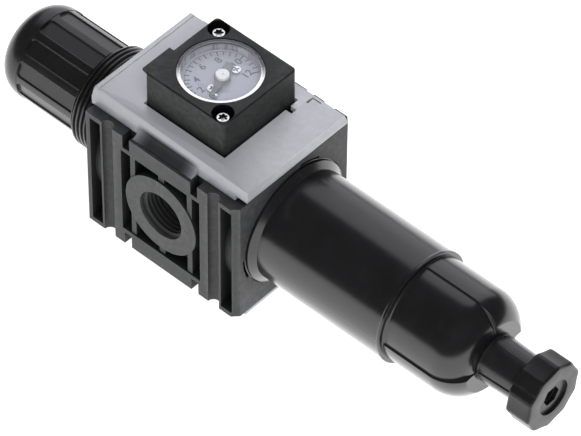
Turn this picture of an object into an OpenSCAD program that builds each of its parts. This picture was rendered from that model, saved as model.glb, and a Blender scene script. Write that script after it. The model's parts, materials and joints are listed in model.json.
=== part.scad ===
// Modular compressed-air filter-regulator with a square flange gauge,
// an opaque bayonet bowl and a manual drain.
// +Z runs up the adjusting axis (knob up, bowl down), the front with the
// gauge faces -Y and the two ports face -X (inlet) and +X (outlet).
// The origin is where the port axis crosses the adjusting axis.

/* [Body] */
// width across the two port faces
body_w = 63; // [62.5:0.25:65]
// depth between the seats of the front and rear covers
body_d = 58.4; // [58:0.2:60]
// height of the top face above the port axis
body_top = 37.2; // [37:0.2:38]
// depth of the bottom face below the port axis
body_bot = 37.5; // [37.3:0.1:38]
// radius of the port thread wall (G1/2 minor diameter 18.63)
port_r = 9.315; // [9.2:0.005:9.4]
// depth of the port thread from the bottom of its mouth
port_depth = 14; // [13:0.5:14.5]
// outer radius of the flat sealing ring around each port
port_ring_r = 17.57; // [17:0.1:18]
// radius of the shallow counterbore in each port mouth
port_mouth_r = 10.5; // [10.2:0.1:11]
// depth of the relief pockets in the port faces
pocket_depth = 5; // [4:0.5:5.5]
// radius of the four coupling grooves
rail_groove_r = 2.7; // [2.2:0.1:2.8]
// height of the coupling grooves above and below the port axis
rail_groove_z = 26.4; // [26:0.2:26.6]

/* [Covers] */
// half width of the front cover
cover_x = 26.9; // [26.5:0.1:27.2]
// thickness of the front cover skin
cover_skin = 2; // [1.6:0.1:2.2]
// distance of the front cover's raised field in front of the body axis
cover_front = 37.7; // [37.4:0.1:38.2]
// half width of the rear cover
rear_x = 25; // [24:0.5:26]
// distance of the rear cover's flat behind the body axis
rear_y = 33.6; // [33.2:0.1:34]

/* [Gauge] */
// side of the square gauge housing
gauge_side = 38.6; // [38.2:0.1:39]
// distance of the gauge face in front of the body axis
gauge_front = 54.05; // [53.6:0.05:54.5]
// radius of the gauge lens
lens_r = 16.2; // [16:0.05:16.4]
// radius of the dial plate
dial_r = 15; // [14.6:0.1:15.1]
// length of the pointer from its pivot
pointer_len = 10.2; // [9:0.1:10.8]

/* [Knob and bonnet] */
// radius of the knob over its ribs
knob_r = 19.3; // [19.1:0.1:19.6]
// height of the top of the knob above the port axis
knob_top = 98.3; // [97:0.1:99]
// number of ribs round the knob
knob_ribs = 12; // [10:1:14]
// depth of the panels between the ribs
knob_panel_depth = 0.9; // [0.6:0.1:1.2]
// radius of the rounded crown of the knob
crown_r = 10; // [8:0.5:10.2]
// crest radius of the panel-mounting thread on the bonnet
collar_r = 21.5; // [21:0.1:22]
// pitch of the panel-mounting thread
collar_pitch = 2; // [1.75:0.25:2]

/* [Regulator works] */
// mean radius of the main spring
spring_r = 11.5; // [11:0.1:12]
// wire radius of the main spring
spring_wire = 1.5; // [1.2:0.1:1.7]
// turns of the main spring
spring_turns = 6; // [5:0.5:7]
// radius of the adjusting spindle thread
spindle_r = 4; // [3.8:0.1:4.2]
// radius of the valve stem
stem_r = 2; // [1.8:0.1:2.2]

/* [Filter and bowl] */
// outer radius of the filter element
filter_r = 14; // [13:0.5:15]
// length of the filter element
filter_len = 39; // [36:1:42]
// outer radius of the upper bowl
bowl_r = 23.23; // [23:0.05:23.5]
// outer radius of the lower bowl
bowl_low_r = 21.75; // [21.5:0.05:22]

/* [Drain] */
// outer radius of the drain knob
drain_knob_r = 14.2; // [13.8:0.1:14.6]
// flats round the drain knob
drain_flats = 10; // [8:1:12]
// width across flats of the socket in the drain knob
drain_hex = 7.2; // [7:0.1:7.4]

/* [Hidden] */
// body
half_x = body_w / 2;
half_y = body_d / 2;
body_floor = -body_bot;
socket_r = 26.3;        // bowl socket in the underside of the body
socket_top = -22;
chamber_r = 13;         // regulated-pressure chamber
chamber_floor = -5;
valve_bore_r = 8.5;
bead_ledge = 27;        // ledge the diaphragm bead is clamped on
step_floor = 24;        // floor of the step inside that ledge
bonnet_bore = 24;

// bayonet between body and bowl
bayonet_lugs = 3;
entry_angle = 288;      // first entry slot
lock_turn = 40;         // turn from entry to locked
lug_r = 27.3;

// covers
latch_x = 19;
latch_z = 25;
cover_gap = 0.05;
cover_z0 = -39;
cover_z1 = 38.3;
cover_cut = -40;        // front end of cuts through the front cover
plinth_top = -33;

// gauge, with places in its face given as [x, z]
gauge = [-0.25, -1.45];
gauge_half = gauge_side / 2;
pivot = gauge + [0.55, -0.3];    // pointer pivot, a little off the middle of the case
rest_angle = 201;       // direction of the pointer at zero
gauge_screw = 15;       // offset of the fixing screws along x and z
dial_screw = [6.4, -0.8];
gauge_face = -gauge_front;
lens_back = gauge_face + 1.8;
hub_front = gauge_face + 2.05;
pointer_front = gauge_face + 3.15;
screw_seat = gauge_face + 4.1;
dial_front = gauge_face + 4.75;
dial_back = gauge_face + 5.35;
plate_front = gauge_face + 6.55; // movement plate
plate_back = plate_front + 1.5;
base_back = -half_y - 2.8;       // brass base
base_front = base_back - 3;

// bonnet, knob and spring
collar_top = 57;
spring_roof = 82;       // top of the spring chamber
knob_rim = 57.5;
panel_top = 86.3;       // top of the panels round the knob
web_z = 27.6;           // underside of the diaphragm web
web_top = web_z + 1;
plate_top = 30.6;       // seat of the main spring on the upper diaphragm plate
lower_plate_z = web_z - 1.8;
nut_z = 73;             // underside of the spring plate at rest

// valve
seat_z = -8.6;          // contact between seal and seat
poppet_r = 7.2;
poppet_top = seat_z - 1;
poppet_z = poppet_top - 3;

// filter
filter_top = -31;
filter_bottom = filter_top - filter_len;
joint_r = 3.6;          // guide hub, held in the filter baffle

// bowl
bowl_seam = -99.5;      // step between the upper and lower bowl
dome_z = -122;
dome_r = 14;
dome_end = -134;        // flat end of the bowl
dome_in = -130;         // floor inside the bowl
sunken_r = bowl_low_r - 0.75;    // radius of the sunken panels
sunken_edge_r = 12.1;
sunken_z = dome_z + 0.3;
sunken_angle = 96;

// drain
stub_end = -151;
drain_face = -162;
pin_top = -133;
drain_seal_z = pin_top - 1.2;
clip_z0 = -156.6;       // clip groove
clip_z1 = -155.4;

// range of a given half width about mid
function about(half, mid = 0) = [mid - half, mid + half];

// range from inner to outer, mirrored through zero when side is -1
function span(side, inner, outer) = side > 0 ? [inner, outer] : [-outer, -inner];

function polar(r, angle) = [r * cos(angle), r * sin(angle)];

zero_stop_at = pivot + polar(9.9, rest_angle + 8.5);

function dial_screw_at(side) = pivot + [side * dial_screw.x, dial_screw.y];
function gauge_screw_at(side) = side * gauge_screw * [1, 1];

// box given by its x, y and z ranges
module block(x, y, z) {
  translate([x[0], y[0], z[0]]) cube([x[1] - x[0], y[1] - y[0], z[1] - z[0]]);
}

// round bar along Z from z up
module disc(r, z, h, facets = 96) {
  translate([0, 0, z]) cylinder(r = r, h = h, $fn = facets);
}

module cone(r1, r2, z, h, facets = 96) {
  translate([0, 0, z]) cylinder(r1 = r1, r2 = r2, h = h, $fn = facets);
}

// ring of rectangular section
module ring(outer, inner, z0, z1) {
  difference() {
    disc(outer, z0, z1 - z0);
    disc(inner, z0 - 1, z1 - z0 + 2);
  }
}

// round bar along X at height z
module bar_x(z, r, x0, x1) {
  translate([x0, 0, z]) rotate([0, 90, 0]) cylinder(r = r, h = x1 - x0, $fn = 96);
}

// round bar along Y at [x, z]
module bar_y(at, r, y0, y1, facets = 64) {
  translate([at[0], y1, at[1]]) rotate([90, 0, 0]) cylinder(r = r, h = y1 - y0, $fn = facets);
}

// hexagonal bar along Z, sized across its flats
module hex_bar(flats, z0, z1) {
  disc(flats / sqrt(3), z0, z1 - z0, 6);
}

// on the +X side and mirrored to -X
module both_sides() {
  for (side = [-1, 1]) scale([side, 1, 1]) children();
}

// ring sectors at the bayonet places, the first centred on angle mid
module bayonet_sectors(outer, inner, z0, z1, mid, half) {
  for (i = [0 : bayonet_lugs - 1])
    translate([0, 0, z0]) rotate([0, 0, mid + 360 / bayonet_lugs * i - half])
      rotate_extrude(angle = 2 * half, $fn = 96)
        translate([inner, 0]) square([outer - inner, z1 - z0]);
}

// four cover latches over the range y, or their pockets with slack round them
module latches(y, slack = 0) {
  for (sx = [-1, 1], sz = [-1, 1])
    block(about(2 + slack, sx * latch_x), y, about(1 + slack, sz * latch_z));
}

// edge of a coil's horizontal slice, outer for side 1 and inner for side -1
function coil_edge(mean_r, wire, pitch, n, side, steps) = [
  for (i = steps)
    let (half = wire * sqrt(max(0, 1 - pow(i / n, 2))))
      polar(mean_r + side * half, i / n * wire / pitch * 360)
];

// coil spring, its slice drawn with 2 n steps along each edge
module coil(mean_r, wire, z0, z1, turns, n) {
  pitch = (z1 - z0) / turns;
  translate([0, 0, z0])
    linear_extrude(height = z1 - z0, twist = -360 * turns, slices = round(16 * turns))
      polygon(concat(coil_edge(mean_r, wire, pitch, n, 1, [-n : n]),
                     coil_edge(mean_r, wire, pitch, n, -1, [n - 1 : -1 : 1 - n])));
}

// ---- body and covers ----

// relief cut into the +X port face
module port_face() {
  floor_x = half_x - pocket_depth;
  past_x = half_x + 1;
  // square field round the sealing ring
  difference() {
    block([floor_x, past_x], about(21.2), about(19.7));
    bar_x(0, port_ring_r, floor_x - 1, half_x + 2);
    for (side = [-1, 1]) {
      // bars across the field, above and below the axis
      block([floor_x - 1, half_x - 0.5], about(22), about(1.15, side * 14.2));
      // short webs on the axis
      block([floor_x - 1, half_x - 0.7], span(side, 16, 22), about(1.4));
    }
  }
  for (sz = [-1, 1]) {
    // notches at the front and rear edges
    for (sy = [-1, 1])
      block([floor_x, past_x], span(sy, 23.2, half_y + 1), span(sz, 15.2, 18.7));
    // coupling grooves
    bar_y([half_x, sz * rail_groove_z], rail_groove_r, -half_y - 1, half_y + 1);
    // end pockets, their floor is the round wall of the bores behind
    difference() {
      block([half_x - 5.5, past_x], about(27), span(sz, 30, 35.3));
      disc(29, -50, 100);
    }
  }
  // chamfer along the lower edge
  translate([half_x, 0, body_floor]) rotate([0, 45, 0])
    cube([3.6, body_d + 2, 3.6], center = true);
}

module body() color([0.13, 0.13, 0.14]) difference() {
  port_floor = half_x - 1.4 - port_depth;
  union() {
    block(about(half_x), about(half_y), [body_floor, body_top]);
    // plinth under the lower rim of the front cover
    block(about(24.6), [-31.8, -half_y + 1], [-36.6, plinth_top]);
  }
  both_sides() {
    port_face();
    // port mouth and thread wall
    bar_x(0, port_mouth_r, half_x - 1.4, half_x + 1);
    bar_x(0, port_r, port_floor, half_x);
  }
  // outlet passage, and inlet passage down to the bowl socket
  bar_x(2.5, 7, 9, port_floor + 1);
  translate([-19.5, 0, 0]) disc(4.9, socket_top - 1, 26, 64);
  // regulator bores, from the top down
  disc(bonnet_bore, bead_ledge, 20, 128);
  disc(19, step_floor, 10);
  disc(chamber_r, chamber_floor, 35);
  disc(7, -9, 6, 64);
  disc(valve_bore_r, -40, 32, 64);
  // bowl socket, leaving the filter boss
  difference() {
    disc(socket_r, body_floor - 1, socket_top - body_floor + 1, 128);
    disc(11.5, -27, 10);
  }
  // bayonet groove and entry slots
  ring(27.6, 20, -33.2, -29.8);
  bayonet_sectors(27.5, 22, body_floor - 1, -31, entry_angle, 11.5);
  // gauge passage, seal groove and screw holes
  bar_y(gauge, 1.5, -half_y - 1, -11);
  difference() {
    bar_y(gauge, 4.9, -half_y - 1, -half_y + 1.5);
    bar_y(gauge, 2.7, -half_y - 2, -half_y + 2.5);
  }
  for (side = [-1, 1])
    bar_y(gauge + gauge_screw_at(side), 1.5, -half_y - 1, -half_y + 8);
  // latch pockets of the covers
  for (side = [-1, 1]) latches(span(side, 23.5, half_y + 1), slack = 0.2);
}

module front_cover() color([0.78, 0.79, 0.81]) difference() {
  seat = -half_y - cover_gap;
  inside = -half_y + 1;     // back end of the cuts
  union() {
    difference() {
      union() {
        // hipped front skin: rim, shoulder, raised field and upper band
        hull() {
          block(about(cover_x), [-33, seat], [cover_z0, cover_z1]);
          block(about(cover_x - 0.9), [-36.2, -33], [cover_z0 + 0.7, cover_z1 - 0.3]);
          block(about(22.6), [-cover_front, -34], [-24, 21.5]);
          block(about(cover_x - 1.4), [-37.4, -34], [34, cover_z1 - 0.5]);
        }
        // coved skirts at the sides
        both_sides() difference() {
          block([20, 30.2], [-32.6, seat], about(14.6));
          translate([30.6, -33.2, 0]) disc(3.6, -30, 60, 64);
        }
      }
      // hollow back
      block(about(cover_x - cover_skin), [-cover_front + cover_skin + 0.3, inside],
            [cover_z0 + cover_skin, cover_z1 - cover_skin]);
      // clearance over the plinth and the bottom edge
      block(about(cover_x + 1), [-32, inside], [cover_z0 - 1, plinth_top]);
      // fine line along the upper edge
      block(about(cover_x + 1), [-38.2, -37.05], [35.6, 35.95]);
    }
    latches([-36, -24]);
  }
  // opening round the gauge
  block(about(gauge_half + 0.4, gauge[0]), [cover_cut, inside],
        about(gauge_half + 0.8, gauge[1]));
  // L-shaped slot near the lower corner, then a notch under the opening
  block([20.5, 24.6], [cover_cut, -30], [-25.2, -24.2]);
  block([23.6, 24.6], [cover_cut, -30], [-28.5, -24.2]);
  block([12.6, 15.4], [cover_cut, -30], [-24.4, gauge[1] - gauge_half]);
}

module rear_cover() color([0.78, 0.79, 0.81]) difference() {
  seat = half_y + cover_gap;
  union() {
    difference() {
      hull() {
        block(about(rear_x), [seat, rear_y - 1.2], [-36.5, 36.2]);
        block(about(rear_x - 1.2), [seat, rear_y], [-35.3, 35]);
      }
      block(about(rear_x - 2), [half_y - 1, rear_y - 1.8], [-34.5, 34.2]);
    }
    latches([24, rear_y - 1]);
  }
  // shallow panel line
  difference() {
    block(about(19), [rear_y - 0.3, rear_y + 1], about(28));
    block(about(18.5), about(2, rear_y), about(27.5));
  }
}

// ---- gauge ----

module gauge_housing() color([0.12, 0.13, 0.12])
  translate([gauge[0], 0, gauge[1]]) difference() {
    corner_r = 1.8;
    union() {
      // square case, [radius, setback from the face] at each corner
      hull()
        for (sx = [-1, 1], sz = [-1, 1], corner = [[corner_r, 0.5], [1.3, 0]])
          bar_y([sx * (gauge_half - corner_r), sz * (gauge_half + 0.4 - corner_r)],
                corner[0], gauge_face + corner[1], -half_y, 32);
      // thumb lip on the upper side
      hull() {
        block([-18.4, -4.2], [gauge_face, gauge_face + 1.2], [15, gauge_half + 2.2]);
        block([-17.6, -5], [gauge_face, gauge_face + 3.2], [15, gauge_half]);
      }
    }
    // lens seat, movement space, socket hole
    bar_y([0, 0], lens_r, gauge_face - 1, lens_back);
    bar_y([0, 0], 15.3, gauge_face - 1, base_back);
    bar_y([0, 0], 5.1, -half_y - 4, -half_y + 1);
    // counterbored screw holes
    for (side = [-1, 1]) {
      bar_y(gauge_screw_at(side), 4.2, gauge_face - 1, screw_seat);
      bar_y(gauge_screw_at(side), 1.6, gauge_face - 1, -half_y + 1);
    }
  }

module gauge_lens() color([0.85, 0.88, 0.92, 0.35]) difference() {
  bar_y(gauge, lens_r - 0.05, gauge_face + 0.25, lens_back);
  bar_y(gauge, 14.6, gauge_face + 1.3, gauge_face + 3);
}

module gauge_dial() color([0.72, 0.72, 0.76]) difference() {
  cut_y0 = gauge_face + 4;
  cut_y1 = gauge_face + 6;
  bar_y(gauge, dial_r, dial_front, dial_back);
  bar_y(pivot, 1.3, cut_y0, cut_y1);
  bar_y(zero_stop_at, 0.5, cut_y0, cut_y1);
  for (side = [-1, 1]) bar_y(dial_screw_at(side), 0.8, cut_y0, cut_y1);
}

module dial_screws() color([0.9, 0.9, 0.9])
  for (side = [-1, 1])
    translate([dial_screw_at(side)[0], 0, dial_screw_at(side)[1]]) difference() {
      union() {
        bar_y([0, 0], 1.8, dial_front - 0.7, dial_front);
        bar_y([0, 0], 0.75, gauge_face + 4.5, gauge_face + 8);
      }
      // cross recess
      rotate([0, 20, 0]) {
        recess_y = [gauge_face + 3.9, gauge_face + 4.5];
        block(about(1.25), recess_y, about(0.26));
        block(about(0.26), recess_y, about(1.25));
      }
    }

// plate that carries the pointer spindle and the dial
module movement_plate() color([0.72, 0.6, 0.32]) difference() {
  union() {
    bar_y(gauge, 13.2, plate_front, plate_back);
    // dial posts in front, pillars to the base behind
    for (side = [-1, 1]) bar_y(dial_screw_at(side), 1.7, dial_back, plate_front + 0.05);
    for (a = [30 : 120 : 270]) bar_y(gauge + polar(11.6, a), 0.9, gauge_face + 8, base_front);
  }
  bar_y(pivot, 0.8, gauge_face + 5, gauge_face + 9);
  for (side = [-1, 1]) bar_y(dial_screw_at(side), 0.75, gauge_face + 5, gauge_face + 9);
}

// brass base of the gauge with its pressure stub
module gauge_socket() color([0.72, 0.6, 0.32]) difference() {
  union() {
    bar_y(gauge, 14, base_front, base_back);
    bar_y(gauge, 5, -half_y - 3, -half_y - 0.02);
    // stud beside the spiral, then the spindle bearing
    bar_y(gauge + [9.1, 0], 1.6, -half_y - 9.8, -half_y - 5);
    bar_y(pivot, 1.8, -half_y - 8.4, -half_y - 5);
  }
  bar_y(gauge, 1, -half_y - 4.5, -half_y + 1);
  bar_y(pivot, 0.82, -half_y - 9, -half_y - 5.4);
}

// edge of the spiral starting at radius start, a point each 15 degrees
function spiral_edge(start, steps) = [for (i = steps) polar(start + i * 0.095, i * 15)];

// flat spiral tube that winds the pointer as pressure rises
module bourdon_spiral() color([0.74, 0.62, 0.36])
  translate([pivot[0], -half_y - 8.8, pivot[1]]) rotate([90, 0, 0])
    linear_extrude(height = 3.2)
      polygon(concat(spiral_edge(2.05, [0 : 60]), spiral_edge(1.25, [60 : -1 : 0])));

module pointer_spindle() color([0.8, 0.8, 0.8])
  bar_y(pivot, 0.75, gauge_face + 3, base_front - 0.1);

// pointer blade with its counterweight, shown at the zero mark
module gauge_pointer() color([0.42, 0.43, 0.43]) {
  thick = 0.4;
  // half outline from tail to tip: [distance along, half width]
  half_blade = [[-7.2, 1.6], [0, 1.9], [pointer_len - 0.8, 0.9], [pointer_len, 0.3]];
  translate([pivot[0], pointer_front + thick, pivot[1]]) rotate([90, 0, 0]) difference() {
    union() {
      rotate([0, 0, rest_angle]) linear_extrude(height = thick)
        polygon(concat(half_blade, [for (i = [3 : -1 : 0]) [half_blade[i][0], -half_blade[i][1]]]));
      disc(3.2, 0, thick, 64);
    }
    disc(0.75, -1, 3, 32);
  }
}

module pointer_hub() color([0.93, 0.93, 0.92]) difference() {
  bar_y(pivot, 2.55, hub_front, pointer_front);
  bar_y(pivot, 0.75, gauge_face + 2.6, gauge_face + 4);
  bar_y(pivot, 0.35, gauge_face + 1.9, gauge_face + 3);
}

module zero_stop() color([0.9, 0.9, 0.9])
  bar_y(zero_stop_at, 0.5, gauge_face + 2.9, dial_back);

module gauge_screws() color([0.8, 0.81, 0.82])
  for (side = [-1, 1]) {
    at = gauge + gauge_screw_at(side);
    recess_y0 = gauge_face + 1;
    recess_y1 = gauge_face + 3.3;
    difference() {
      union() {
        bar_y(at, 2.75, screw_seat - 2, screw_seat);
        bar_y(at, 1.5, gauge_face + 4, -half_y + 7.5);
      }
      // six-lobed recess
      bar_y(at, 1.05, recess_y0, recess_y1);
      for (a = [0 : 60 : 300]) bar_y(at + polar(1.1, a), 0.36, recess_y0, recess_y1);
    }
  }

module gauge_seal() color([0.08, 0.08, 0.08])
  translate([gauge[0], -half_y + 0.75, gauge[1]]) rotate([90, 0, 0])
    rotate_extrude($fn = 64) translate([3.8, 0]) circle(r = 0.74, $fn = 32);

// ---- bonnet, knob and spring ----

module bonnet() color([0.07, 0.07, 0.075]) difference() {
  flange_r = 26.2;
  crest = collar_r + 0.5;   // outer edge of the thread cuts
  root = collar_r - 0.9;
  union() {
    disc(bonnet_bore - 0.03, 29, 10, 128);
    disc(flange_r, body_top + 0.05, 3.5, 128);
    cone(flange_r, 22, body_top + 3.5, 3.3);
    disc(collar_r, body_top + 6, collar_top - body_top - 6, 128);
    disc(17.3, collar_top - 1, 30);
  }
  // panel thread, drawn as rings
  for (z = [46.2 : collar_pitch : 55])
    rotate_extrude($fn = 96)
      polygon([[crest, z - 0.95], [crest, z + 0.95], [root, z + 0.3], [root, z - 0.3]]);
  // chamfer at the top of the collar
  rotate_extrude($fn = 96)
    polygon([[crest, 55.6], [crest, 58], [collar_r - 1.9, 58]]);
  // spring chamber and spindle hole
  disc(18.9, 28, 6);
  disc(15, 30, spring_roof - 30);
  disc(4.75, 80, 10, 64);
  // keyways for the spring plate
  for (side = [-1, 1]) block(span(side, 14, 16.2), about(2.1), [60, 81.5]);
  // vent
  translate([0, 10, 42.3]) rotate([-90, 0, 0]) cylinder(r = 0.8, h = 20, $fn = 32);
}

// half profile of the knob's crown
module knob_crown() {
  crown_x = knob_r + 0.2 - crown_r;
  crown_z = knob_top - crown_r;
  translate([0, crown_z - 1]) square([crown_x, crown_r + 1]);
  intersection() {
    translate([crown_x, crown_z]) circle(r = crown_r, $fn = 96);
    translate([0, crown_z]) square([knob_r + 5, crown_r + 1]);
  }
}

// round-topped outline of one panel between the ribs
module knob_panel() {
  width = 2 * PI * knob_r / knob_ribs * 0.66;
  corner_r = 1.2;
  bottom = knob_rim - 1;
  translate([-width / 2, bottom]) square([width, panel_top - corner_r - bottom]);
  translate([-width / 2 + corner_r, bottom]) square([width - 2 * corner_r, panel_top - bottom]);
  for (side = [-1, 1])
    translate([side * (width / 2 - corner_r), panel_top - corner_r])
      circle(r = corner_r, $fn = 32);
}

module knob() color([0.06, 0.06, 0.065]) difference() {
  union() {
    rotate_extrude($fn = 128) union() {
      translate([0, knob_rim]) square([knob_r, knob_top - crown_r - knob_rim]);
      knob_crown();
    }
    // plain band above the panels
    ring(knob_r + 0.2, knob_r - 2, panel_top, knob_top - crown_r);
  }
  for (i = [0 : knob_ribs - 1])
    rotate([0, 0, 5.5 + 180 / knob_ribs + 360 / knob_ribs * i])
      translate([knob_r - knob_panel_depth, 0, 0]) rotate([90, 0, 90])
        linear_extrude(height = 3) knob_panel();
  // hollow, ring groove in its roof, hexagon for the spindle
  disc(17.4, knob_rim - 1, 88 - knob_rim + 1, 128);
  ring(13.5, 8.5, 87, 91.5);
  hex_bar(8.1, 87, 97);
}

module adjusting_spindle() color([0.7, 0.7, 0.68]) {
  disc(spindle_r, 50, 30, 64);
  disc(8, 79.5, 1.5, 64);
  hex_bar(8, 80.5, 94);
}

module thrust_washer() color([0.75, 0.7, 0.5])
  ring(9, 4.8, spring_roof - 1, spring_roof);

module spring_plate() color([0.68, 0.66, 0.55]) difference() {
  union() {
    disc(14.93, nut_z, 3);
    disc(8.6, nut_z - 4, 8, 64);
    // keys
    for (side = [-1, 1]) block(span(side, 12, 16), about(2), [nut_z, nut_z + 3]);
  }
  disc(spindle_r + 0.05, nut_z - 6, 20, 64);
}

module main_spring() color([0.62, 0.63, 0.65])
  coil(spring_r, spring_wire, plate_top, nut_z, spring_turns, 3);

// ---- diaphragm ----

module diaphragm() color([0.05, 0.05, 0.05]) rotate_extrude($fn = 96) union() {
  fold = [16.9, web_z];
  // clamped bead, flat web, rolled fold between them
  translate([18.6, bead_ledge]) square([5.2, 2]);
  translate([3.4, web_z]) square([11.8, 1]);
  difference() {
    translate(fold) circle(r = 2.2, $fn = 48);
    translate(fold) circle(r = 1.3, $fn = 48);
    translate([13, web_z - 3.6]) square([8, 3.6]);
  }
}

module upper_plate() color([0.7, 0.71, 0.72]) difference() {
  union() {
    disc(14, web_top, plate_top - web_top);
    disc(9.4, plate_top - 0.5, 3.5, 64);
  }
  disc(3.4, 28, 4, 48);
  disc(1.5, 28, 10, 32);
}

module lower_plate() color([0.7, 0.71, 0.72]) difference() {
  union() {
    disc(13.6, lower_plate_z, 1.8);
    disc(3.4, 27, 4.5, 48);
  }
  disc(1.2, 25, 10, 32);
}

// ---- valve ----

module valve_stem() color([0.78, 0.74, 0.6]) {
  disc(stem_r, -25, lower_plate_z + 25, 48);
  disc(3, poppet_z - 1, 1, 48);
}

module valve_poppet() color([0.72, 0.6, 0.32]) ring(poppet_r, stem_r, poppet_z, poppet_top);

module poppet_seal() color([0.06, 0.06, 0.06]) ring(poppet_r, stem_r, poppet_top, seat_z);

module valve_seat() color([0.72, 0.6, 0.32]) difference() {
  union() {
    disc(6.3, seat_z, 2, 64);
    disc(7, chamber_floor - 3, 3, 64);
    disc(9, chamber_floor, 1, 64);
  }
  disc(5.5, -10, 10, 64);
}

module valve_spring() color([0.7, 0.7, 0.72]) coil(4.7, 0.55, -21, poppet_z, 4, 2);

module valve_guide() color([0.85, 0.85, 0.82]) difference() {
  union() {
    // rim, spokes and hub
    ring(valve_bore_r, 7.2, -27, -21.5);
    for (a = [0 : 60 : 300]) rotate([0, 0, a]) block([2.8, 7.9], about(0.9), [-24, -21]);
    disc(joint_r, filter_top, 10.4, 64);
  }
  disc(stem_r + 0.06, -28, 10, 48);
}

// ---- filter and bowl ----

module swirl_deflector() color([0.2, 0.2, 0.21]) {
  ring(14.8, 8, filter_top, -27.05);
  ring(20.6, 19.6, filter_top, -27.5);
  // slanted vanes
  for (i = [0 : 11]) rotate([0, 0, 30 * i])
    translate([17.2, 0, -29.2]) rotate([38, 0, 0]) cube([5.4, 0.9, 4], center = true);
}

module filter_element() color([0.93, 0.92, 0.88])
  ring(filter_r, filter_r - 4, filter_bottom, filter_top);

module filter_baffle() color([0.2, 0.2, 0.21]) difference() {
  union() {
    // dish, post and crossed fins
    cone(17.6, 16, filter_bottom - 2.5, 2.5);
    disc(5, filter_bottom - 2, filter_len + 4.5, 64);
    for (a = [0, 90]) rotate([0, 0, a])
      block(about(8), about(0.8), [filter_bottom - 2.2, filter_bottom + 2]);
  }
  disc(joint_r, filter_top, 10, 64);
}

// outer half profile of the lower bowl
module lower_bowl_profile() {
  flat_r = bowl_low_r - dome_r;
  translate([0, dome_z]) square([bowl_low_r, bowl_seam - dome_z + 1]);
  translate([0, dome_end]) square([flat_r, dome_z - dome_end + 1]);
  intersection() {
    translate([flat_r, dome_z]) circle(r = dome_r, $fn = 96);
    translate([0, dome_end]) square([40, dome_z - dome_end]);
  }
}

// half profile of the space inside the bowl
module bowl_space_profile() {
  upper_r = 21.4;
  lower_r = 19.4;
  translate([0, -96]) square([upper_r, 80]);
  polygon([[0, -98], [lower_r, -98], [upper_r, -96], [0, -96]]);
  translate([0, dome_z]) square([lower_r, -97 - dome_z]);
  translate([0, dome_in]) square([8, 10]);
  intersection() {
    translate([7.5, dome_z + 3]) circle(r = 11.9, $fn = 96);
    translate([0, dome_in]) square([40, 20]);
  }
}

// half profile cut away outside the floor of a sunken panel
module sunken_profile() difference() {
  flat_r = sunken_r - sunken_edge_r;
  translate([9.8, -160]) square([20, bowl_seam - 0.5 + 160]);
  translate([0, sunken_z]) square([sunken_r, 60]);
  translate([0, dome_end + 0.2]) square([flat_r, 20]);
  intersection() {
    translate([flat_r, sunken_z]) circle(r = sunken_edge_r, $fn = 96);
    translate([0, -150]) square([40, 151 + dome_z]);
  }
}

module bowl() color([0.05, 0.05, 0.055]) difference() {
  flange_r = 25.8;
  union() {
    // neck with lugs
    disc(26.22, -37.6, 13.6, 128);
    bayonet_sectors(lug_r, 24, -33, -30, entry_angle - lock_turn, 9.5);
    // flange below the body
    disc(flange_r, -38.3, 1.2, 128);
    cone(bowl_r, flange_r, -40.2, 1.95, 128);
    // upper shell, bead at the seam, lower shell
    disc(bowl_r, bowl_seam, -38 - bowl_seam, 128);
    ring(bowl_r + 0.25, bowl_r - 2, bowl_seam - 0.4, bowl_seam + 0.9);
    rotate_extrude($fn = 128) union() lower_bowl_profile();
  }
  // seal groove
  ring(30, 23.75, -28, -25.3);
  // notches in the flange
  for (i = [0 : 2]) rotate([0, 0, 168.5 + 120 * i]) block([25, 27], about(0.5), [-39.6, -37.4]);
  rotate_extrude($fn = 128) union() bowl_space_profile();
  // two sunken panels on the lower shell
  for (a = [-135, 45]) rotate([0, 0, a - sunken_angle / 2])
    rotate_extrude(angle = sunken_angle, $fn = 128) sunken_profile();
  // drain hole
  disc(6, -150, 30, 64);
}

module bowl_seal() color([0.08, 0.08, 0.08])
  translate([0, 0, -26.6]) rotate_extrude($fn = 96)
    translate([25.03, 0]) circle(r = 1.25, $fn = 32);

// ---- drain ----

module drain_body() color([0.06, 0.06, 0.065]) difference() {
  union() {
    // collar, tapered stub with ribs
    disc(9.9, dome_end - 1, 1);
    cone(9.1, 9.7, stub_end, dome_end - stub_end);
    for (a = [0 : 90 : 270]) rotate([0, 0, a])
      block(about(0.8), [6, 10], [stub_end, dome_end]);
    // neck through the bowl, spigot for the knob
    disc(5.97, dome_end - 0.5, 9.5, 64);
    disc(6, -158, 8, 64);
  }
  // outlet hole and pin bore
  disc(1.3, -135, 20, 32);
  disc(4.55, -160, 160 + pin_top, 64);
  // clip groove
  ring(8, 5.3, clip_z0, clip_z1);
}

module drain_nut() color([0.7, 0.7, 0.68]) difference() {
  hex_bar(17, dome_in, dome_in + 3.5);
  disc(6, -140, 20, 64);
}

module drain_seal() color([0.08, 0.08, 0.08]) ring(4.4, 1.9, drain_seal_z, pin_top);

// valve pin, hollow below its shoulder so water can leave
module drain_pin() color([0.06, 0.06, 0.065]) difference() {
  union() {
    disc(4.5, -148, 148 + drain_seal_z, 64);
    disc(1.9, pin_top - 1.3, 1.3, 32);
    hex_bar(6.9, -159.4, -147);
  }
  disc(2.6, -165, 17, 48);
  disc(1.4, -150, 11, 32);
  // cross hole
  translate([0, 0, -140]) rotate([90, 0, 0]) cylinder(r = 0.8, h = 12, center = true, $fn = 32);
}

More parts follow.
